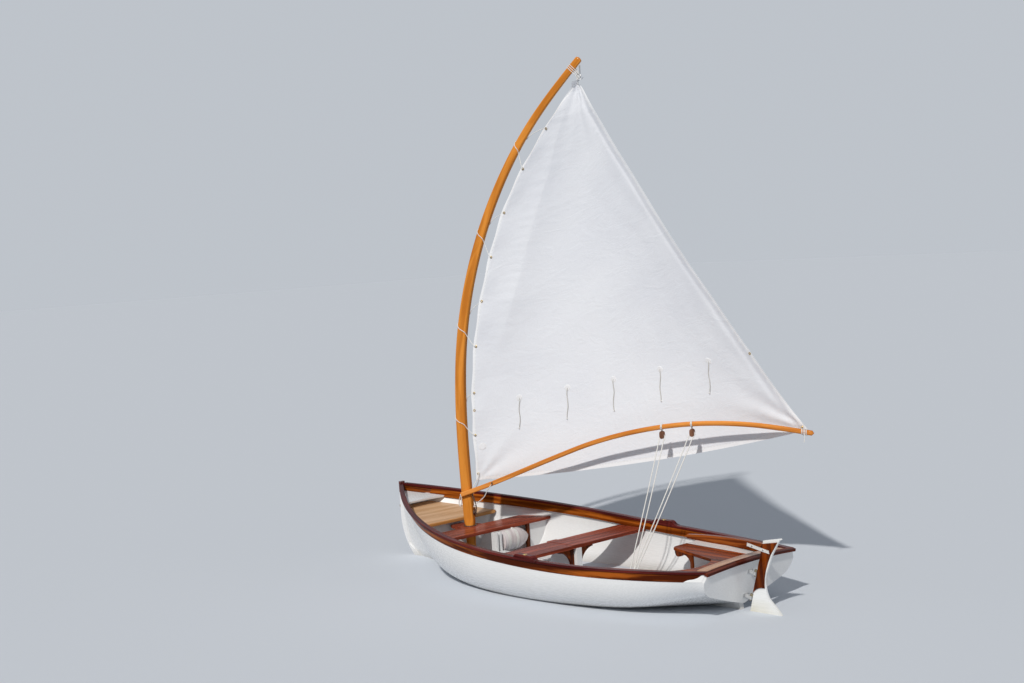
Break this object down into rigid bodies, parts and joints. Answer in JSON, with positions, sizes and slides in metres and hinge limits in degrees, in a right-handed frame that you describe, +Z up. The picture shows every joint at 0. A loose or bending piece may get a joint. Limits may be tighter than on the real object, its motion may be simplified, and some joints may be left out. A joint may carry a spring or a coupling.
{
  "type": "small open sailing dinghy",
  "caption": "Open round-hulled sailing dinghy with varnished trim, arched unstayed mast, a soft sail, arched boom, rudder with tiller and centreboard.",
  "frame": {"origin": "on the waterline and the centreline, halfway along the hull", "axes": "+X to the bow, +Y to port, +Z up"},
  "size_m": [4.0384, 1.6535, 4.6345],
  "materials": {
    "white_hull": "gloss white paint",
    "white_blade": "gloss white paint",
    "mahogany": "varnished mahogany",
    "tiller_wood": "varnished, laminated",
    "mast_wood": "varnished pine",
    "boom_wood": "varnished spruce",
    "pale_lid": "clear varnish",
    "floor_wood": "oiled",
    "sailcloth": "soft white sailcloth",
    "roll_cloth": "coated cloth",
    "collar_leather": "dark leather",
    "steel": "brushed",
    "brass": "polished brass",
    "block_wood": "dark varnish"
  },
  "bodies": {
    "hull": {"hull_shell": "white_hull", "transom": "white_hull", "keel": "white_hull", "stem": "white_hull", "breasthook": "white_hull", "bow_bulkhead": "white_hull", "thwart_web_port": "white_hull", "thwart_web_starboard": "white_hull", "centreboard_case": "white_hull", "centreboard_case_cap": "white_hull", "strake_corner_port": "white_hull", "strake_corner_starboard": "white_hull", "sheer_strake_port": "mahogany", "sheer_strake_starboard": "mahogany", "inwale_port": "mahogany", "inwale_starboard": "mahogany", "gunwale_cap_port": "mahogany", "gunwale_cap_starboard": "mahogany", "transom_cap": "mahogany", "mast_thwart": "mahogany", "mast_partner": "mahogany", "middle_thwart_port": "mahogany", "middle_thwart_starboard": "mahogany", "thwart_knee_port": "mahogany", "thwart_knee_starboard": "mahogany", "thwart_web_strip_port": "mahogany", "thwart_web_strip_starboard": "mahogany", "stern_bench": "mahogany", "rowlock_pad_port": "mahogany", "rowlock_pad_starboard": "mahogany", "mast_step": "mahogany", "middle_thwart_strip": "mahogany", "bench_apron_port": "mahogany", "bench_apron_starboard": "mahogany", "bow_lid": "pale_lid", "floorboards": "floor_wood", "floor_bearers": "floor_wood", "buoyancy_roll": "roll_cloth", "mast_collar": "collar_leather", "centreboard_pin": "steel", "rudder_gudgeons": "steel", "bow_ring": "brass", "transom_ring": "brass", "lower_sheet_block": "block_wood"},
    "rudder": {"rudder_blade": "white_blade", "rudder_cheek_port": "mahogany", "rudder_cheek_starboard": "mahogany", "tiller": "tiller_wood", "tiller_straps": "steel", "rudder_pintles": "steel"},
    "rig": {"mast": "mast_wood", "sail": "sailcloth", "boom": "boom_wood", "boom_blocks": "block_wood", "masthead_shackle": "steel"},
    "board": {"centreboard": "white_blade"}
  },
  "joints": [
    {"name": "rudder_hinge", "type": "hinge", "parent": "hull", "child": "rudder", "pos_m": [-1.8106, 0, 0.03235], "axis": [-0.2675, 0, 0.9636], "range_deg": [-40, 40]},
    {"name": "rig_turn", "type": "hinge", "parent": "hull", "child": "rig", "pos_m": [0.979, 0, 0], "axis": [0, 0, 1], "range_deg": [-98, 62]},
    {"name": "board_pivot", "type": "hinge", "parent": "hull", "child": "board", "pos_m": [0.505, 0, -0.04], "axis": [0, 1, 0], "range_deg": [0, 88]}
  ]
}
